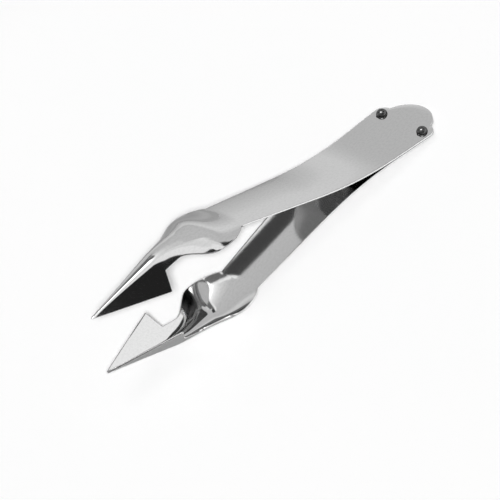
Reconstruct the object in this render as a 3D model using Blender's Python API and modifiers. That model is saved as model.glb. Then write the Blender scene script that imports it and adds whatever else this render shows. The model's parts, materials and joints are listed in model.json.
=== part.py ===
"""Spring tweezers with beaked jaws: two stamped steel leaves riveted together at the heel."""
import math

import bpy
from mathutils import Vector

MM = 0.001

# Sheet and clearance, in millimetres like every length below
SHEET = 0.6
GAP = 0.3

# Lengths along the tool, chained from the rivet line to the tips
RIVET_TO_NECK = 71.8
BOWL_LENGTH = 22.3
WAIST_LENGTH = 5.4
NOTCH_LENGTH = 2.0
BEAK_LENGTH = 23.6
BOWL_TO_WIDEST = 11.3
BOWL_TO_CREST = 12.9

# Widths of the flat blank, stamped from a strip that the bowl fills from side to side
BOWL_WIDTH = 25.1
HEEL_TRIM = 0.5
BARB_TRIM = 0.35
NECK_WIDTH = 15.8
WAIST_WIDTH = 12.8
TIP_WIDTH = 0.6

# Heights of the leaf's middle line above the plane between the leaves
CREST_HEIGHT = 16.7
BARB_HEIGHT = 15.8
TIP_HEIGHT = 10.0

# Bends of the sheet
HANDLE_ANGLE = math.radians(14.5)
BEND_START = 14.0
BEND_LENGTH = 29.4
BEAK_FLANK_ANGLE = math.radians(58.5)
BARB_BEND_WIDTH = 3.0
TIP_BEND_WIDTH = 1.0
BOWL_RIM_ANGLE = math.radians(46.7)
BOWL_RISE_LENGTH = 17.0
BOWL_SHOULDER_POWER = 0.91

# Outline of the heel
EAR_END = 3.5
EAR_RADIUS = 3.4
LOBE_INSET = 2.85
LOBE_OFFSET = 0.3

# Rivets
RIVET_INSET = 3.3
SHANK_RADIUS = 0.9
HEAD_RADIUS = 1.65
HEAD_HEIGHT = 1.0

# Line across each leaf where its spring bend is gathered
RIVET_TO_FLEX = 24.0

# Mesh resolution
BEAK_ROWS = 12
NOTCH_ROWS = 4
WAIST_ROWS = 4
BOWL_ROWS = 18
HANDLE_ROWS = 3
BEND_ROWS = 8
ARM_COLUMNS = 16
HEEL_COLUMNS = 36
EAR_ROWS = 4
ARC_STEPS = 24
DOME_STEPS = 6
ROUND_STEPS = 28

# Widths, stations and levels that follow from the sizes above
HEEL_WIDTH = BOWL_WIDTH - 2 * HEEL_TRIM
BARB_WIDTH = BOWL_WIDTH - 2 * BARB_TRIM
RIVET_SPACING = HEEL_WIDTH - 2 * RIVET_INSET
LOBE_RADIUS = HEEL_WIDTH / 2 - LOBE_INSET
X_WIDEST = RIVET_TO_NECK + BOWL_TO_WIDEST
X_CREST = RIVET_TO_NECK + BOWL_TO_CREST
X_WAIST = RIVET_TO_NECK + BOWL_LENGTH
X_NOTCH = X_WAIST + WAIST_LENGTH
X_BARB = X_NOTCH + NOTCH_LENGTH
X_TIP = X_BARB + BEAK_LENGTH
X_BEND_END = BEND_START + BEND_LENGTH
CLAMP_HEIGHT = GAP / 2 + SHEET / 2
SEAT_HEIGHT = GAP / 2 + SHEET + GAP
HEAD_TOP = SEAT_HEIGHT + HEAD_HEIGHT
DOME_RADIUS = (HEAD_RADIUS ** 2 + HEAD_HEIGHT ** 2) / (2 * HEAD_HEIGHT)
HOLE_RADIUS = SHANK_RADIUS + GAP

STEEL = (0.74, 0.745, 0.75)
STEEL_ROUGHNESS = 0.16
RIVET_STEEL = (0.80, 0.80, 0.81)
RIVET_ROUGHNESS = 0.10


def ease(t):
    """Smooth step from 0 to 1."""
    t = min(max(t, 0.0), 1.0)
    return t * t * (3.0 - 2.0 * t)


def mix(a, b, t):
    return a + (b - a) * t


def hermite(x, x0, z0, slope0, x1, z1, slope1):
    """Cubic through two points with given slopes."""
    span = x1 - x0
    t = (x - x0) / span
    a = 2 * t ** 3 - 3 * t ** 2 + 1
    b = t ** 3 - 2 * t ** 2 + t
    c = t ** 3 - t ** 2
    return a * z0 + b * span * slope0 + (1 - a) * z1 + c * span * slope1


def handle_height(x):
    """Middle line of the handle: flat at the clamp, one bend, then straight."""
    slope = math.tan(HANDLE_ANGLE)
    if x <= BEND_START:
        return CLAMP_HEIGHT
    if x <= X_BEND_END:
        return CLAMP_HEIGHT + slope * (x - BEND_START) ** 2 / (2 * BEND_LENGTH)
    return CLAMP_HEIGHT + slope * BEND_LENGTH / 2 + slope * (x - X_BEND_END)


def middle_height(x):
    """Middle line of the whole leaf above the plane between the leaves."""
    if x <= RIVET_TO_NECK:
        return handle_height(x)
    beak_slope = (TIP_HEIGHT - BARB_HEIGHT) / BEAK_LENGTH
    if x <= X_CREST:
        return hermite(x, RIVET_TO_NECK, handle_height(RIVET_TO_NECK), math.tan(HANDLE_ANGLE),
                       X_CREST, CREST_HEIGHT, 0.0)
    if x <= X_BARB:
        return hermite(x, X_CREST, CREST_HEIGHT, 0.0, X_BARB, BARB_HEIGHT, beak_slope)
    return BARB_HEIGHT + beak_slope * (x - X_BARB)


def half_width(x):
    """Half width of the flat blank at a station."""
    if x <= RIVET_TO_NECK:
        return mix(HEEL_WIDTH, NECK_WIDTH, max(x, 0.0) / RIVET_TO_NECK) / 2
    if x <= X_WIDEST:
        u = (X_WIDEST - x) / BOWL_TO_WIDEST
        return mix(NECK_WIDTH, BOWL_WIDTH, max(1.0 - u * u, 0.0) ** BOWL_SHOULDER_POWER) / 2
    if x <= X_WAIST:
        return mix(BOWL_WIDTH, WAIST_WIDTH, ease((x - X_WIDEST) / (X_WAIST - X_WIDEST))) / 2
    if x <= X_NOTCH:
        return WAIST_WIDTH / 2
    if x <= X_BARB:
        return mix(WAIST_WIDTH, BARB_WIDTH, (x - X_NOTCH) / NOTCH_LENGTH) / 2
    return mix(BARB_WIDTH, TIP_WIDTH, (x - X_BARB) / BEAK_LENGTH) / 2


def sheet_angle(x, t):
    """Slope of the formed sheet at a distance t from its middle line."""
    bend_width = mix(TIP_BEND_WIDTH, BARB_BEND_WIDTH, (X_TIP - x) / BEAK_LENGTH)
    beak = BEAK_FLANK_ANGLE * (1.0 - math.exp(-t / bend_width))
    bowl = BOWL_RIM_ANGLE * 2 * t / BOWL_WIDTH
    share = ease((X_BARB - x) / (X_BARB - X_WIDEST))
    rise = math.sin(math.pi / 2 * min((x - RIVET_TO_NECK) / BOWL_RISE_LENGTH, 1.0))
    return mix(beak, bowl * rise, share)


def leaf_point(x, across):
    """Point on the formed leaf; across runs from -1 to 1 over the blank's width."""
    reach = abs(across) * half_width(x)
    side = 0.0
    drop = 0.0
    if x > RIVET_TO_NECK:
        step = reach / ARC_STEPS
        for i in range(ARC_STEPS):
            angle = sheet_angle(x, (i + 0.5) * step)
            side += math.cos(angle) * step
            drop += math.sin(angle) * step
    else:
        side = reach
    return Vector((x, math.copysign(side, across), middle_height(x) - drop))


def heel_end(y):
    """Where the heel ends behind the rivets: a round lobe between two round ears."""
    y = abs(y)
    corner = HEEL_WIDTH / 2 - EAR_RADIUS
    end = -EAR_END
    if y > corner:
        inside = EAR_RADIUS ** 2 - (y - corner) ** 2
        end = EAR_RADIUS - EAR_END - math.sqrt(max(inside, 0.0))
    if y < LOBE_RADIUS:
        end = min(end, -LOBE_OFFSET - math.sqrt(LOBE_RADIUS ** 2 - y ** 2))
    return end


def spread(start, stop, count):
    """Evenly spaced stations after start, up to and with stop."""
    return [mix(start, stop, (i + 1) / count) for i in range(count)]


def arm_stations():
    """Stations of the sprung arm, closer where the outline turns fast."""
    stations = [RIVET_TO_FLEX + GAP / 2]
    stations += spread(stations[0], X_BEND_END, BEND_ROWS)
    stations += spread(X_BEND_END, RIVET_TO_NECK, HANDLE_ROWS)
    for i in range(BOWL_ROWS):
        turn = (i + 1) / BOWL_ROWS
        stations.append(mix(RIVET_TO_NECK, X_WAIST, mix(turn * turn, turn, turn)))
    stations += spread(X_WAIST, X_NOTCH, WAIST_ROWS)
    stations += spread(X_NOTCH, X_BARB, NOTCH_ROWS)
    stations += spread(X_BARB, X_TIP, BEAK_ROWS)
    return stations


def sheet_object(name, rows, shift, collection):
    """Open grid of points given thickness by Solidify."""
    columns = len(rows[0])
    points = [tuple((p - shift) * MM) for row in rows for p in row]
    faces = []
    for i in range(len(rows) - 1):
        for j in range(columns - 1):
            a = i * columns + j
            faces.append((a, a + columns, a + columns + 1, a + 1))
    mesh = bpy.data.meshes.new(name)
    mesh.from_pydata(points, [], faces)
    mesh.update()
    obj = bpy.data.objects.new(name, mesh)
    collection.objects.link(obj)
    solid = obj.modifiers.new("sheet", "SOLIDIFY")
    solid.thickness = SHEET * MM
    solid.offset = 0.0
    solid.use_even_offset = True
    return obj


def arm_rows():
    rows = []
    for x in arm_stations():
        rows.append([leaf_point(x, 2 * j / ARM_COLUMNS - 1) for j in range(ARM_COLUMNS + 1)])
    return rows


def heel_rows():
    """Rows from the lobe and ears forward to the flex line."""
    stop = RIVET_TO_FLEX - GAP / 2
    fixed = spread(BEND_START, stop, BEND_ROWS)
    turns = [math.pi * (j / HEEL_COLUMNS - 0.5) for j in range(HEEL_COLUMNS + 1)]
    rows = []
    for i in range(EAR_ROWS + 1):
        row = []
        for turn in turns:
            start = heel_end(math.sin(turn) * HEEL_WIDTH / 2)
            row.append(leaf_point(mix(start, BEND_START, i / EAR_ROWS), math.sin(turn)))
        rows.append(row)
    for x in fixed:
        rows.append([leaf_point(x, math.sin(turn)) for turn in turns])
    return rows


def cut_rivet_holes(obj, cutters):
    """Two round holes through the heel, on the rivets' axes."""
    for side in (1, -1):
        bpy.ops.mesh.primitive_cylinder_add(vertices=ROUND_STEPS, radius=HOLE_RADIUS * MM,
                                            depth=10 * SHEET * MM)
        cutter = bpy.context.object
        cutter.name = obj.name + (".hole_1" if side > 0 else ".hole_2")
        for old in list(cutter.users_collection):
            old.objects.unlink(cutter)
        cutters.objects.link(cutter)
        cutter.parent = obj
        cutter.location = (0.0, side * RIVET_SPACING / 2 * MM, CLAMP_HEIGHT * MM)
        cutter.hide_render = True
        cutter.display_type = "WIRE"
        cut = obj.modifiers.new("rivet hole", "BOOLEAN")
        cut.operation = "DIFFERENCE"
        cut.object = cutter


def rivet_object(name, collection):
    """Turned rivet: a shank between two domed heads."""
    centre = HEAD_TOP - DOME_RADIUS
    lean = math.asin(HEAD_RADIUS / DOME_RADIUS)
    if HEAD_HEIGHT > DOME_RADIUS:
        lean = math.pi - lean
    upper = []
    for i in range(DOME_STEPS + 1):
        turn = lean * i / DOME_STEPS
        upper.append((DOME_RADIUS * math.sin(turn), centre + DOME_RADIUS * math.cos(turn)))
    upper.append((SHANK_RADIUS, SEAT_HEIGHT))
    profile = upper + [(r, -z) for r, z in reversed(upper)]
    mesh = bpy.data.meshes.new(name)
    points = [(r * MM, 0.0, z * MM) for r, z in profile]
    edges = [(i, i + 1) for i in range(len(points) - 1)]
    mesh.from_pydata(points, edges, [])
    obj = bpy.data.objects.new(name, mesh)
    collection.objects.link(obj)
    turned = obj.modifiers.new("turned", "SCREW")
    turned.steps = ROUND_STEPS
    turned.render_steps = ROUND_STEPS
    turned.use_merge_vertices = True
    turned.merge_threshold = 0.00001
    turned.use_smooth_shade = True
    return obj


def give_material(obj, colour, roughness):
    mat = bpy.data.materials.new(obj.name + "_steel")
    mat.use_nodes = True
    shader = mat.node_tree.nodes["Principled BSDF"]
    shader.inputs["Base Color"].default_value = (*colour, 1.0)
    shader.inputs["Metallic"].default_value = 1.0
    shader.inputs["Roughness"].default_value = roughness
    obj.data.materials.append(mat)


def empty(name, parent, location, rotation, collection):
    obj = bpy.data.objects.new(name, None)
    obj.empty_display_size = 5 * MM
    obj.parent = parent
    obj.location = Vector(location) * MM
    obj.rotation_euler = rotation
    collection.objects.link(obj)
    return obj


def resting_tilt():
    """Tilt about Y that puts the rivet heads and the bowl of one leaf on the same level."""
    low, high = 0.0, math.radians(45.0)
    span = X_BARB - RIVET_TO_NECK
    line = []
    for i in range(201):
        x = RIVET_TO_NECK + span * i / 200
        line.append((x, middle_height(x) + SHEET / 2))
    for _ in range(60):
        tilt = (low + high) / 2
        head = (HEAD_TOP - DOME_RADIUS) * math.cos(tilt) + DOME_RADIUS
        bowl = max(z * math.cos(tilt) - x * math.sin(tilt) for x, z in line)
        if bowl > head:
            low = tilt
        else:
            high = tilt
    return (low + high) / 2


def world_bounds(objects):
    """Corners of the box round the finished pieces."""
    bpy.context.view_layer.update()
    graph = bpy.context.evaluated_depsgraph_get()
    points = []
    for obj in objects:
        shown = obj.evaluated_get(graph)
        mesh = shown.to_mesh()
        points += [shown.matrix_world @ v.co for v in mesh.vertices]
        shown.to_mesh_clear()
    low = Vector([min(p[k] for p in points) for k in range(3)])
    high = Vector([max(p[k] for p in points) for k in range(3)])
    return low, high


def main():
    for obj in list(bpy.data.objects):
        bpy.data.objects.remove(obj, do_unlink=True)
    scene = bpy.context.scene
    parts = bpy.data.collections.new("spring_tweezers")
    cutters = bpy.data.collections.new("cutters")
    scene.collection.children.link(parts)
    scene.collection.children.link(cutters)

    tool = empty("tool_frame", None, (0, 0, 0), (0.0, -resting_tilt(), 0.0), parts)
    pivot = Vector((RIVET_TO_FLEX, 0.0, middle_height(RIVET_TO_FLEX)))
    pieces = []
    arms = arm_rows()
    heels = heel_rows()
    for name, turn in (("upper_leaf", 0.0), ("lower_leaf", math.pi)):
        leaf = empty(name + "_frame", tool, (0, 0, 0), (turn, 0.0, 0.0), parts)
        flex = empty(name + "_flex", leaf, pivot, (0.0, 0.0, 0.0), parts)
        heel = sheet_object(name + "_heel", heels, Vector((0, 0, 0)), parts)
        heel.parent = leaf
        cut_rivet_holes(heel, cutters)
        arm = sheet_object(name + "_arm", arms, pivot, parts)
        arm.parent = flex
        for obj in (heel, arm):
            give_material(obj, STEEL, STEEL_ROUGHNESS)
            obj.data.shade_smooth()
            obj.data.set_sharp_from_angle(angle=math.radians(35.0))
            pieces.append(obj)
    for name, side in (("rivet_left", 1), ("rivet_right", -1)):
        rivet = rivet_object(name, parts)
        rivet.parent = tool
        rivet.location = (0.0, side * RIVET_SPACING / 2 * MM, 0.0)
        give_material(rivet, RIVET_STEEL, RIVET_ROUGHNESS)
        pieces.append(rivet)

    # The origin lies under the middle of the tool, on the surface that it rests on
    low, high = world_bounds(pieces)
    tool.location -= Vector(((low.x + high.x) / 2, (low.y + high.y) / 2, low.z))
    bpy.context.view_layer.update()


main()
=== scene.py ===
"""Spring tweezers with beaked jaws on a plain white studio floor."""

import json
import math

import bpy
from mathutils import Matrix, Vector


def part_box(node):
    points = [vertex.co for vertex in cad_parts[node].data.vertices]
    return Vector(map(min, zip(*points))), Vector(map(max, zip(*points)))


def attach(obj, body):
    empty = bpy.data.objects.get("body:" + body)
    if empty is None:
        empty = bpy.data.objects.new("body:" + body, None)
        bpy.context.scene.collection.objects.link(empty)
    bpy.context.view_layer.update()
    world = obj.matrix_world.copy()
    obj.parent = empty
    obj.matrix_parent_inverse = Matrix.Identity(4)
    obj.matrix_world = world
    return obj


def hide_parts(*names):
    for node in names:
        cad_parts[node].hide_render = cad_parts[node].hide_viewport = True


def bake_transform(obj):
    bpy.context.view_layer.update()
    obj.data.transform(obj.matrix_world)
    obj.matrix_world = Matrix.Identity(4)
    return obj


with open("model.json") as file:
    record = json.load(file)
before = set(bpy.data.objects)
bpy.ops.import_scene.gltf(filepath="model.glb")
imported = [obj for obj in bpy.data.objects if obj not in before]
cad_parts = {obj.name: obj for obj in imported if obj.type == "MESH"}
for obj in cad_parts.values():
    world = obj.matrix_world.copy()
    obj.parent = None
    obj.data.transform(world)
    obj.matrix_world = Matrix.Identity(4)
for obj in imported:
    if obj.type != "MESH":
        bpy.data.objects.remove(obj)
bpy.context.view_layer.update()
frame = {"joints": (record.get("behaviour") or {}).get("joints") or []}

MM = 0.001

# Sheet, in millimetres like every length of the tool below
SHEET = 0.6
CLAMP_GAP = 0.04
EDGE_ROUND = 0.12
EDGE_STEPS = (0.0, 0.04, 0.15, 0.33, 0.6, 1.0)

# Stations along the leaf, from the rivet line to the tip
BEND_START = 14.0
BEND_LENGTH = 29.4
X_BEND_END = BEND_START + BEND_LENGTH
X_NECK = 71.8
X_WIDEST = 83.1
X_CREST = 84.7
X_WAIST = 94.1
X_NOTCH = 99.5
X_BARB = 101.5
X_TIP = 125.1

# Widths of the flat blank
HEEL_WIDTH = 24.1
NECK_WIDTH = 15.8
BOWL_WIDTH = 25.1
WAIST_WIDTH = 12.8
BARB_WIDTH = 24.4
TIP_WIDTH = 0.6

# Heights of the leaf's middle line above the plane between the leaves
CLAMP_HEIGHT = 0.45
CREST_HEIGHT = 16.7
BARB_HEIGHT = 15.8
TIP_HEIGHT = 10.0

# Bends of the sheet
HANDLE_SLOPE = math.tan(math.radians(14.5))
BEAK_SLOPE = (TIP_HEIGHT - BARB_HEIGHT) / (X_TIP - X_BARB)
BEAK_FLANK_ANGLE = math.radians(58.5)
BARB_BEND_WIDTH = 3.0
TIP_BEND_WIDTH = 1.0
BOWL_RIM_ANGLE = math.radians(46.7)
BOWL_RISE_LENGTH = 17.0
BOWL_SHOULDER_POWER = 0.91
HANDLE_DISH = 0.25
DISH_START = 20.0
DISH_FULL = 50.0
BARB_CREASE_ANGLE = math.radians(50.0)
TIP_CREASE_ANGLE = math.radians(46.0)
BARB_CREASE = 4.0
TIP_CREASE = 0.5
CREASE_POWER = 1.5
FOLD_START = 98.0
FOLD_END = 79.0

# Outline of the heel
EAR_END = 3.5
EAR_RADIUS = 3.4
LOBE_RADIUS = 9.2
LOBE_OFFSET = 0.3

# Rivets
RIVET_SPACING = 17.5
SHANK_RADIUS = 0.9
HOLE_RADIUS = 1.0
CUTTER_DEPTH = 6.0
HEAD_RADIUS = 1.75
UPPER_HEAD_HEIGHT = 1.65
LOWER_HEAD_HEIGHT = 1.4
SEAT_GAP = 0.02
HEAD_SEAT = SHEET + CLAMP_GAP / 2 + SEAT_GAP
SHARP_ANGLE = math.radians(40.0)

# Fineness of the meshes
COLUMNS = 62
HEEL_ROWS = 9
BEND_ROWS = 28
HANDLE_ROWS = 16
BOWL_ROWS = 44
WAIST_ROWS = 10
NOTCH_ROWS = 14
BEAK_ROWS = 48
ARC_STEPS = 30
HOLE_SIDES = 32
DOME_STEPS = 16
TURN_STEPS = 48
CARD_COLUMNS = 24
MERGE_DISTANCE = 0.01

# Place of the flat blank in its texture square
BLANK_SPAN = 100.0
BLANK_START = (0.15, 0.5)

# Steel: light kept at grazing angles, then faint stains and polishing lines with their stretch by axis
GRAZING_SHARE = 0.4
STAIN_RANGE = (0.36, 0.58)
STAIN_SHARE = (0.965, 1.01)
STAIN_DETAIL = 5.0
LINE_DETAIL = 4.0
LINE_DEPTH = 0.02
LEAF_LINES = (24.0, 1560.0, 360.0)
LEAF_STAINS = (110.0, 150.0, 1.0)
RIVET_LINES = (2500.0, 2500.0, 2500.0)
RIVET_STAINS = (900.0, 900.0, 900.0)

# Floor in metres: half its side, and the distances from its middle between which white fades to a shade
FLOOR_REACH = 3.0
FLOOR_CLEAR = 0.15
FLOOR_FADED = 0.35
FLOOR_SHADE = 0.72
FLOOR_ROUGHNESS = 0.9

# Room light: level by the sine of the elevation, and the share of it that lights matt surfaces
ROOM_LEVELS = (
    (0.0, 0.86), (0.087, 0.90), (0.156, 0.93), (0.208, 0.99), (0.31, 0.96), (0.36, 0.85), (0.42, 0.73),
    (0.5, 0.69), (0.8, 0.72), (0.87, 0.86), (0.92, 1.05), (0.955, 1.35), (0.975, 2.6), (1.0, 4.0),
)
ROOM_SHARE = 0.35

# Lamp behind the camera
LAMP_STRENGTH = 3.1
LAMP_ANGLE = math.radians(5.0)
LAMP_TOWARD = (0.364, 0.672, 0.645)

# Studio cards, in metres from the middle of the floor, and a small screen over the upper bowl
CARD_DISTANCE = 2.5
CARD_CENTRE = (0.0, 0.0, 0.0)
SCREEN_DISTANCE = 0.015
SCREEN_CENTRE = (0.0275, 0.0025, 0.0343)

# Camera at the photo's view: place in metres, turn in degrees
CAMERA_LENS = 358.58
CAMERA_PLACE = (0.534363, 0.985809, 0.963728)
CAMERA_TURN = (46.6501, 18.9377, 134.8416)
CAMERA_REACH = 10.0


def ease(t):
    """Smooth step from 0 to 1."""
    t = min(max(t, 0.0), 1.0)
    return t * t * (3.0 - 2.0 * t)


def mix(a, b, t):
    """Value a share t of the way from a to b."""
    return a + (b - a) * t


def hermite(x, x0, z0, slope0, x1, z1, slope1):
    """Cubic through two points with given slopes."""
    span = x1 - x0
    t = (x - x0) / span
    a = 2 * t ** 3 - 3 * t ** 2 + 1
    b = t ** 3 - 2 * t ** 2 + t
    c = t ** 3 - t ** 2
    return a * z0 + b * span * slope0 + (1 - a) * z1 + c * span * slope1


def spread(start, stop, count):
    """Evenly spaced stations after start, up to and with stop."""
    return [mix(start, stop, (i + 1) / count) for i in range(count)]


def grey(level):
    """Opaque grey for a colour socket."""
    return (level, level, level, 1.0)


def mesh_object(name, points, edges, faces, materials):
    """New mesh object in the scene."""
    mesh = bpy.data.meshes.new(name)
    mesh.from_pydata(points, edges, faces)
    for mat in materials:
        mesh.materials.append(mat)
    obj = bpy.data.objects.new(name, mesh)
    bpy.context.scene.collection.objects.link(obj)
    return obj


def applied(obj):
    """Object with its modifiers made final."""
    bpy.context.view_layer.update()
    evaluated = obj.evaluated_get(bpy.context.evaluated_depsgraph_get())
    mesh = bpy.data.meshes.new_from_object(evaluated)
    mesh.name = obj.name
    obj.modifiers.clear()
    obj.data = mesh
    return obj


# Form of the leaf
def handle_height(x):
    """Middle line of the handle: flat at the clamp, one bend, then straight."""
    closed = (CLAMP_HEIGHT - SHEET / 2 - CLAMP_GAP / 2) * (1 - ease(x / X_BEND_END))
    level = CLAMP_HEIGHT - closed
    if x <= BEND_START:
        return level
    if x <= X_BEND_END:
        return level + HANDLE_SLOPE * (x - BEND_START) ** 2 / (2 * BEND_LENGTH)
    return level + HANDLE_SLOPE * (BEND_LENGTH / 2 + x - X_BEND_END)


def middle_height(x):
    """Middle line of the whole leaf above the plane between the leaves."""
    if x <= X_NECK:
        return handle_height(x)
    if x <= X_CREST:
        return hermite(x, X_NECK, handle_height(X_NECK), HANDLE_SLOPE, X_CREST, CREST_HEIGHT, 0.0)
    if x <= X_BARB:
        return hermite(x, X_CREST, CREST_HEIGHT, 0.0, X_BARB, BARB_HEIGHT, BEAK_SLOPE)
    return BARB_HEIGHT + BEAK_SLOPE * (x - X_BARB)


def half_width(x):
    """Half width of the flat blank at a station."""
    if x <= X_NECK:
        return mix(HEEL_WIDTH, NECK_WIDTH, max(x, 0.0) / X_NECK) / 2
    if x <= X_WIDEST:
        u = (X_WIDEST - x) / (X_WIDEST - X_NECK)
        return mix(NECK_WIDTH, BOWL_WIDTH, max(1.0 - u * u, 0.0) ** BOWL_SHOULDER_POWER) / 2
    if x <= X_WAIST:
        return mix(BOWL_WIDTH, WAIST_WIDTH, ease((x - X_WIDEST) / (X_WAIST - X_WIDEST))) / 2
    if x <= X_NOTCH:
        return WAIST_WIDTH / 2
    if x <= X_BARB:
        return mix(WAIST_WIDTH, BARB_WIDTH, (x - X_NOTCH) / (X_BARB - X_NOTCH)) / 2
    return mix(BARB_WIDTH, TIP_WIDTH, (x - X_BARB) / (X_TIP - X_BARB)) / 2


def bowl_angle(t):
    """Slope of the full bowl at a distance t from its middle line."""
    return BOWL_RIM_ANGLE * 2 * t / BOWL_WIDTH


def bowl_rise(x):
    """Share of the full bowl that a station behind the beak has."""
    return math.sin(math.pi / 2 * min(max((x - X_NECK) / BOWL_RISE_LENGTH, 0.0), 1.0))


def formed_angle(x, t):
    """Slope of the stamped sheet at a distance t from its middle line, as in the solids."""
    bend_width = mix(TIP_BEND_WIDTH, BARB_BEND_WIDTH, (X_TIP - x) / (X_TIP - X_BARB))
    beak = BEAK_FLANK_ANGLE * (1.0 - math.exp(-t / bend_width))
    share = ease((X_BARB - x) / (X_BARB - X_WIDEST))
    return mix(beak, bowl_angle(t) * bowl_rise(x), share)


def polished_angle(x, t):
    """The same slope with the finer forms: a shallow dish along the handle and a crisper beak."""
    along = (X_TIP - x) / (X_TIP - X_BARB)
    bend_width = mix(TIP_CREASE, BARB_CREASE, along ** CREASE_POWER)
    steep = mix(TIP_CREASE_ANGLE, BARB_CREASE_ANGLE, min(along, 1.0))
    beak = steep * math.sin(math.pi / 2 * min(t / bend_width, 1.0))
    share = ease((FOLD_START - x) / (FOLD_START - FOLD_END))
    dish = HANDLE_DISH * ease((x - DISH_START) / (DISH_FULL - DISH_START))
    return mix(beak, bowl_angle(t) * mix(dish, 1.0, bowl_rise(x)), share)


def section(angle, x, reach):
    """How far the sheet goes sideways and down over a reach from its middle line."""
    side = 0.0
    drop = 0.0
    step = reach / ARC_STEPS
    for i in range(ARC_STEPS):
        slope = angle(x, (i + 0.5) * step)
        side += math.cos(slope) * step
        drop += math.sin(slope) * step
    return side, drop


def leaf_row(x_at, reach_at):
    """Points across the polished leaf, whose edges along the handle stay on the solids' edges."""
    points = []
    lift = {}
    for x, reach in zip(x_at, reach_at):
        if x not in lift:
            half = half_width(x)
            raised = section(formed_angle, x, half)[1] - section(polished_angle, x, half)[1]
            lift[x] = raised * (1 - ease((x - X_NECK) / (X_WIDEST - X_NECK)))
        side, drop = section(polished_angle, x, abs(reach))
        points.append(Vector((x, math.copysign(side, reach), middle_height(x) - drop - lift[x])))
    return points


def heel_end(y):
    """Where the heel ends behind the rivets: a round lobe between two round ears."""
    y = abs(y)
    corner = HEEL_WIDTH / 2 - EAR_RADIUS
    end = -EAR_END
    if y > corner:
        inside = EAR_RADIUS ** 2 - (y - corner) ** 2
        end = EAR_RADIUS - EAR_END - math.sqrt(max(inside, 0.0))
    if y < LOBE_RADIUS:
        end = min(end, -LOBE_OFFSET - math.sqrt(LOBE_RADIUS ** 2 - y ** 2))
    return end


def stations():
    """Stations from the bend to the tip, closer where the outline turns fast."""
    found = spread(BEND_START, X_BEND_END, BEND_ROWS)
    found += spread(X_BEND_END, X_NECK, HANDLE_ROWS)
    for share in spread(0.0, 1.0, BOWL_ROWS):
        found.append(mix(X_NECK, X_WAIST, mix(share * share, share, share)))
    found += spread(X_WAIST, X_NOTCH, WAIST_ROWS)
    found += spread(X_NOTCH, X_BARB, NOTCH_ROWS)
    found += spread(X_BARB, X_TIP - EDGE_ROUND, BEAK_ROWS)
    found += [X_TIP - EDGE_ROUND * step for step in reversed(EDGE_STEPS[:-1])]
    return found


def reaches(half):
    """Places across a row, from one edge to the other, closer where the edges are rounded."""
    rounded = min(EDGE_ROUND, half / 2)
    edge = [half - rounded * step for step in EDGE_STEPS]
    inner = half - rounded
    middle = spread(-inner, inner, COLUMNS)[:-1]
    return [-t for t in edge] + middle + edge[::-1]


def fullness(inside):
    """Share of the sheet's thickness at a distance from the cut edge."""
    if inside >= EDGE_ROUND:
        return 1.0
    lost = EDGE_ROUND - math.sqrt(max(EDGE_ROUND ** 2 - (EDGE_ROUND - inside) ** 2, 0.0))
    return 1.0 - 2 * lost / SHEET


def leaf_grid():
    """Rows of points on the leaf's middle surface, with the blank's place and the thickness of each."""
    rows = []
    flat = []
    full = []
    outer = HEEL_WIDTH / 2
    across = [t / outer for t in reaches(outer)]
    ends = [heel_end(a * outer) for a in across]
    heel = [[end + EDGE_ROUND * step for end in ends] for step in EDGE_STEPS]
    for share in spread(0.0, 1.0, HEEL_ROWS):
        heel.append([mix(end + EDGE_ROUND, BEND_START, share) for end in ends])
    for x_at in heel:
        reach_at = [a * half_width(x) for x, a in zip(x_at, across)]
        inside = [min(half_width(x) - abs(t), x - end) for x, t, end in zip(x_at, reach_at, ends)]
        rows.append(leaf_row(x_at, reach_at))
        flat.append(list(zip(x_at, reach_at)))
        full.append([fullness(distance) for distance in inside])
    for x in stations():
        half = half_width(x)
        reach_at = reaches(half)
        x_at = [x] * len(reach_at)
        rows.append(leaf_row(x_at, reach_at))
        flat.append(list(zip(x_at, reach_at)))
        full.append([fullness(min(half - abs(t), X_TIP - x)) for t in reach_at])
    return rows, flat, full


def tool_frame():
    """Middle of the rivet line and the tool's own axes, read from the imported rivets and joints."""
    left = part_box("rivet_left")
    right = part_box("rivet_right")
    origin = (left[0] + left[1] + right[0] + right[1]) / 4
    hinges = [Vector(joint["pos_m"]) for joint in frame["joints"]]
    ahead = sum(hinges, Vector()) / len(hinges) - origin
    ahead.y = 0.0
    ahead.normalize()
    side = Vector((0.0, 1.0, 0.0))
    up = ahead.cross(side)
    turn = Matrix((ahead, side, up)).transposed().to_4x4()
    return Matrix.Translation(origin) @ turn


TOOL = tool_frame()
TURNED_OVER = Matrix.Rotation(math.pi, 4, "X")
ROWS, FLAT, FULL = leaf_grid()


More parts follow.
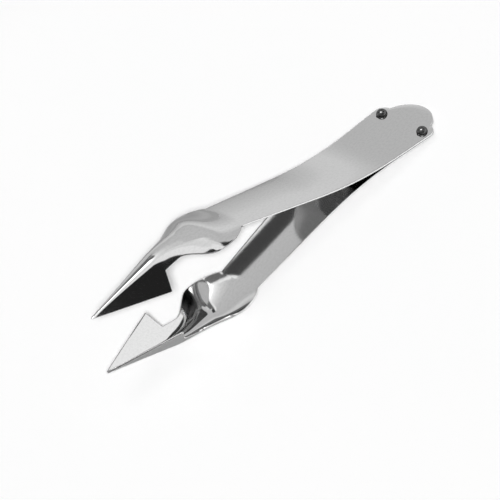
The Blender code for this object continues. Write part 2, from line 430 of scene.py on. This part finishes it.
# Pieces
def leaf(name, place, skin, edge):
    """One stamped leaf: formed sheet with rounded edges and rivet holes."""
    columns = len(ROWS[0])
    points = [tuple(p * MM) for row in ROWS for p in row]
    faces = []
    for i in range(len(ROWS) - 1):
        for j in range(columns - 1):
            first = i * columns + j
            faces.append((first, first + columns, first + columns + 1, first + 1))
    obj = mesh_object(name, points, [], faces, (skin, edge))
    mesh = obj.data
    layer = mesh.uv_layers.new(name="blank")
    places = [p for row in FLAT for p in row]
    for loop in mesh.loops:
        x, y = places[loop.vertex_index]
        layer.data[loop.index].uv = (x / BLANK_SPAN + BLANK_START[0], y / BLANK_SPAN + BLANK_START[1])
    mesh.shade_smooth()
    thickness = obj.vertex_groups.new(name="thickness")
    for i, share in enumerate(f for row in FULL for f in row):
        thickness.add([i], share, "REPLACE")
    solid = obj.modifiers.new("sheet", "SOLIDIFY")
    solid.thickness = SHEET * MM
    solid.offset = 0.0
    solid.vertex_group = "thickness"
    solid.material_offset_rim = 1
    cutters = []
    for side in (1, -1):
        bpy.ops.mesh.primitive_cylinder_add(
            vertices=HOLE_SIDES,
            radius=HOLE_RADIUS * MM,
            depth=CUTTER_DEPTH * MM,
            location=(0.0, side * RIVET_SPACING / 2 * MM, 0.0),
        )
        cutters.append(bpy.context.object)
        cut = obj.modifiers.new("rivet hole", "BOOLEAN")
        cut.operation = "DIFFERENCE"
        cut.object = cutters[-1]
    applied(obj)
    for cutter in cutters:
        bpy.data.objects.remove(cutter)
    obj.vertex_groups.clear()
    obj.data.transform(TOOL @ place)
    return obj


def dome(height):
    """Radius and height of points from the top of a rivet's head down to its shank."""
    radius = (HEAD_RADIUS ** 2 + height ** 2) / (2 * height)
    lean = math.asin(HEAD_RADIUS / radius)
    centre = HEAD_SEAT + height - radius
    turns = [lean * i / DOME_STEPS for i in range(DOME_STEPS + 1)]
    curve = [(radius * math.sin(t), centre + radius * math.cos(t)) for t in turns]
    return curve + [(SHANK_RADIUS, HEAD_SEAT)]


def rivet(name, side, skin):
    """Turned rivet: a shank between two domed heads that sit on the leaves."""
    profile = dome(UPPER_HEAD_HEIGHT) + [(r, -z) for r, z in reversed(dome(LOWER_HEAD_HEIGHT))]
    points = [(r * MM, 0.0, z * MM) for r, z in profile]
    edges = [(i, i + 1) for i in range(len(profile) - 1)]
    obj = mesh_object(name, points, edges, [], (skin,))
    turned = obj.modifiers.new("turned", "SCREW")
    turned.steps = TURN_STEPS
    turned.render_steps = TURN_STEPS
    turned.use_merge_vertices = True
    turned.merge_threshold = MERGE_DISTANCE * MM
    turned.use_smooth_shade = True
    applied(obj)
    obj.data.set_sharp_from_angle(angle=SHARP_ANGLE)
    obj.data.transform(TOOL @ Matrix.Translation((0.0, side * RIVET_SPACING / 2 * MM, 0.0)))
    return obj


# Materials
def noise(nodes, links, place, stretch, detail):
    """Noise over coordinates stretched by a scale on each axis."""
    mapping = nodes.new("ShaderNodeMapping")
    mapping.inputs["Scale"].default_value = stretch
    texture = nodes.new("ShaderNodeTexNoise")
    texture.inputs["Scale"].default_value = 1.0
    texture.inputs["Detail"].default_value = detail
    links.new(place, mapping.inputs["Vector"])
    links.new(mapping.outputs["Vector"], texture.inputs["Vector"])
    return texture.outputs["Fac"]


def steel(name, shade, rough, bump, coordinates, line_stretch, stain_stretch):
    """Polished stainless steel with fine polishing lines and faint stains."""
    mat = bpy.data.materials.new(name)
    mat.use_nodes = True
    nodes = mat.node_tree.nodes
    links = mat.node_tree.links
    shader = nodes["Principled BSDF"]
    shader.inputs["Metallic"].default_value = 1.0
    shader.inputs["Specular Tint"].default_value = grey(GRAZING_SHARE)
    place = nodes.new("ShaderNodeTexCoord").outputs[coordinates]
    lines = noise(nodes, links, place, line_stretch, LINE_DETAIL)
    stains = noise(nodes, links, place, stain_stretch, STAIN_DETAIL)
    tint = nodes.new("ShaderNodeValToRGB")
    for element, position, share in zip(tint.color_ramp.elements, STAIN_RANGE, STAIN_SHARE):
        element.position = position
        element.color = grey(shade * share)
    links.new(stains, tint.inputs["Fac"])
    links.new(tint.outputs["Color"], shader.inputs["Base Color"])
    dull = nodes.new("ShaderNodeMapRange")
    dull.inputs["To Min"].default_value = rough[0]
    dull.inputs["To Max"].default_value = rough[1]
    links.new(lines, dull.inputs["Value"])
    links.new(dull.outputs["Result"], shader.inputs["Roughness"])
    raised = nodes.new("ShaderNodeBump")
    raised.inputs["Strength"].default_value = bump
    raised.inputs["Distance"].default_value = LINE_DEPTH * MM
    links.new(lines, raised.inputs["Height"])
    links.new(raised.outputs["Normal"], shader.inputs["Normal"])
    return mat


def floor_paint(name):
    """Matt white around the tool, fading to pale grey farther out."""
    mat = bpy.data.materials.new(name)
    mat.use_nodes = True
    nodes = mat.node_tree.nodes
    links = mat.node_tree.links
    shader = nodes["Principled BSDF"]
    shader.inputs["Roughness"].default_value = FLOOR_ROUGHNESS
    shader.inputs["Specular IOR Level"].default_value = 0.0
    place = nodes.new("ShaderNodeTexCoord")
    away = nodes.new("ShaderNodeVectorMath")
    away.operation = "LENGTH"
    links.new(place.outputs["Object"], away.inputs[0])
    fade = nodes.new("ShaderNodeMapRange")
    fade.interpolation_type = "SMOOTHSTEP"
    fade.inputs["From Min"].default_value = FLOOR_CLEAR
    fade.inputs["From Max"].default_value = FLOOR_FADED
    fade.inputs["To Min"].default_value = 1.0
    fade.inputs["To Max"].default_value = FLOOR_SHADE
    links.new(away.outputs["Value"], fade.inputs["Value"])
    links.new(fade.outputs["Result"], shader.inputs["Base Color"])
    return mat


def glow(name, level):
    """Plain light of one level."""
    mat = bpy.data.materials.new(name)
    mat.use_nodes = True
    nodes = mat.node_tree.nodes
    nodes.clear()
    light = nodes.new("ShaderNodeEmission")
    light.inputs["Color"].default_value = grey(level)
    target = nodes.new("ShaderNodeOutputMaterial")
    mat.node_tree.links.new(light.outputs["Emission"], target.inputs["Surface"])
    return mat


# Stage: white floor, cards that only reflections show, room light, a lamp behind the camera and the camera
def floor(name, mat):
    """Square floor under the tool."""
    corners = [(x * FLOOR_REACH, y * FLOOR_REACH, 0.0) for x, y in ((-1, -1), (1, -1), (1, 1), (-1, 1))]
    obj = mesh_object(name, corners, [], [(0, 1, 2, 3)], (mat,))


def card(name, level, rows, distance=CARD_DISTANCE, centre=CARD_CENTRE):
    """Card on a sphere about a centre, in rows of elevation, first and last azimuth in degrees."""
    corners = []
    for rise, start, stop in rows:
        flat = math.cos(math.radians(rise)) * distance
        height = math.sin(math.radians(rise)) * distance
        for i in range(CARD_COLUMNS + 1):
            turn = math.radians(mix(start, stop, i / CARD_COLUMNS))
            corners.append((centre[0] + flat * math.cos(turn), centre[1] + flat * math.sin(turn),
                            centre[2] + height))
    faces = []
    for k in range(len(rows) - 1):
        for i in range(CARD_COLUMNS):
            first = k * (CARD_COLUMNS + 1) + i
            faces.append((first, first + 1, first + CARD_COLUMNS + 2, first + CARD_COLUMNS + 1))
    obj = mesh_object(name, corners, [], faces, (glow(name, level),))
    obj.visible_camera = False
    obj.visible_diffuse = False
    obj.visible_shadow = False


def room(name):
    """World light by height, seen in full by the camera and by reflections, weaker on matt surfaces."""
    world = bpy.data.worlds.new(name)
    world.use_nodes = True
    nodes = world.node_tree.nodes
    links = world.node_tree.links
    toward = nodes.new("ShaderNodeTexCoord")
    height = nodes.new("ShaderNodeVectorMath")
    height.operation = "DOT_PRODUCT"
    height.inputs[1].default_value = (0.0, 0.0, 1.0)
    links.new(toward.outputs["Generated"], height.inputs[0])
    ramp = nodes.new("ShaderNodeValToRGB")
    while len(ramp.color_ramp.elements) < len(ROOM_LEVELS):
        ramp.color_ramp.elements.new(0.5)
    for element, (position, level) in zip(ramp.color_ramp.elements, ROOM_LEVELS):
        element.position = position
        element.color = grey(level)
    links.new(height.outputs["Value"], ramp.inputs["Fac"])
    links.new(ramp.outputs["Color"], nodes["Background"].inputs["Color"])
    ray = nodes.new("ShaderNodeLightPath")
    seen = nodes.new("ShaderNodeMath")
    seen.operation = "ADD"
    links.new(ray.outputs["Is Camera Ray"], seen.inputs[0])
    links.new(ray.outputs["Is Glossy Ray"], seen.inputs[1])
    seen_through = nodes.new("ShaderNodeMath")
    seen_through.operation = "ADD"
    seen_through.use_clamp = True
    links.new(seen.outputs["Value"], seen_through.inputs[0])
    links.new(ray.outputs["Is Transmission Ray"], seen_through.inputs[1])
    strength = nodes.new("ShaderNodeMapRange")
    strength.inputs["To Min"].default_value = ROOM_SHARE
    strength.inputs["To Max"].default_value = 1.0
    links.new(seen_through.outputs["Value"], strength.inputs["Value"])
    links.new(strength.outputs["Result"], nodes["Background"].inputs["Strength"])
    bpy.context.scene.world = world


def lamp(name):
    """Soft sun behind the camera that casts the shadow and isn't mirrored."""
    light = bpy.data.lights.new(name, "SUN")
    light.energy = LAMP_STRENGTH
    light.angle = LAMP_ANGLE
    stand = bpy.data.objects.new(name, light)
    stand.rotation_euler = Vector(LAMP_TOWARD).to_track_quat("Z", "Y").to_euler()
    stand.visible_glossy = False
    bpy.context.scene.collection.objects.link(stand)


def camera(name):
    """Camera at the photo's viewing angle."""
    lens = bpy.data.cameras.new(name)
    lens.lens = CAMERA_LENS
    lens.clip_end = CAMERA_REACH
    viewer = bpy.data.objects.new(name, lens)
    viewer.location = CAMERA_PLACE
    viewer.rotation_euler = [math.radians(angle) for angle in CAMERA_TURN]
    bpy.context.scene.collection.objects.link(viewer)
    bpy.context.scene.camera = viewer


LEAF_STEEL = steel("leaf_steel", shade=0.65, rough=(0.04, 0.10), bump=0.05, coordinates="UV",
                   line_stretch=LEAF_LINES, stain_stretch=LEAF_STAINS)
# Edge steel at a shade of 0.88 against the faces' 0.65: rougher cut edges, lightened as a painted highlight
# so that they read as bright lines
EDGE_STEEL_PAINTED_BRIGHT = steel("edge_steel_painted_bright", shade=0.88, rough=(0.10, 0.20), bump=0.15, coordinates="UV",
                   line_stretch=LEAF_LINES, stain_stretch=LEAF_STAINS)
# Rivet steel at a shade of 0.12: the domes' dark tone is painted shade, standing in for the dark
# reflections of polished steel domes
RIVET_STEEL_PAINTED_DARK = steel("rivet_steel", shade=0.12, rough=(0.04, 0.09), bump=0.02, coordinates="Object",
                    line_stretch=RIVET_LINES, stain_stretch=RIVET_STAINS)

for name, place in (("upper", Matrix.Identity(4)), ("lower", TURNED_OVER)):
    obj = leaf(name + "_leaf", place, LEAF_STEEL, EDGE_STEEL_PAINTED_BRIGHT)
    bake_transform(obj)
    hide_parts(name + "_leaf_heel", name + "_leaf_arm")
for name, side in (("left", 1), ("right", -1)):
    obj = rivet(name + "_rivet", side, RIVET_STEEL_PAINTED_DARK)
    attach(obj, "heel")
    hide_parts("rivet_" + name)

floor("floor", floor_paint("floor_white"))
card("near_card", 0.02, [(26, 92, 114), (33, 92, 113), (36, 92, 111), (40, 92, 110), (45, 92, 107),
                         (50, 92, 103)])
card("near_card_top", 0.02, [(50.1, 80, 98), (70, 80, 98)])
card("near_card_side", 0.3, [(3, 75.1, 91.9), (50, 75.1, 91.9)])
card("rivet_card", 0.35, [(3, -30, 75), (40, -30, 75), (40.1, 20, 75), (50, 20, 75)])
card("rivet_glow", 12.0, [(80, -180, 180), (89.5, -180, 180)])
card("near_glow", 1.12, [(36, 111.5, 118), (40, 110.5, 121), (45, 107.5, 126), (50, 103.5, 132),
                         (50.1, 98.1, 132), (57, 98.1, 132), (61, 98.1, 125)])
card("near_glow_rim", 0.97, [(51, 132.1, 146), (57, 132.1, 150), (61, 125.1, 150), (61.1, 98.1, 150),
                             (66, 98.1, 140)])
card("left_card", 0.05, [(27.3, 147, 166), (33, 132, 168), (36, 132, 171), (39, 132, 168.5), (42, 132, 164),
                         (45, 132, 160), (48.5, 134, 153), (50.5, 136, 150)])
card("back_card", 0.07, [(45, -121, -112), (49, -121, -110), (52.5, -121, -109.5), (56, -121, -109)])
card("bowl_card", 0.2, [(56, -116.5, -109), (57.9, -116.5, -108), (58, -127, -108), (61, -131, -109),
                        (63.5, -138, -110), (66, -146, -110.5), (69, -158, -112), (72, -178, -116.5),
                        (75, -178, -122), (77, -150, -130)])
card("patch_card", 0.065, [(38.5, -150, -139), (40.5, -158, -138.5), (43, -172, -138.5), (46, -172, -141),
                           (49.5, -172, -148)])
card("bowl_screen", 0.72, [(10, -210, -118), (60, -210, -118)], SCREEN_DISTANCE, SCREEN_CENTRE)
card("far_strip", 1.25, [(56.1, -123, -116.6), (57.9, -123, -116.6)])
card("bowl_strip", 1.2, [(48, -110, -107), (51, -109, -104.5), (54, -107, -102), (58, -106, -101.5),
                         (62, -106, -101.5), (65, -107.5, -102.5), (68, -109.5, -105), (71, -112.5, -108),
                         (74, -118, -113), (76, -124, -117)])
card("wedge_card", 0.2, [(20, -78, -55), (56, -78, -55)])
card("white_card", 1.2, [(2, 136, 166), (27, 136, 166)])
room("room")
lamp("lamp")
camera("camera")
bpy.context.scene.view_settings.view_transform = "Standard"
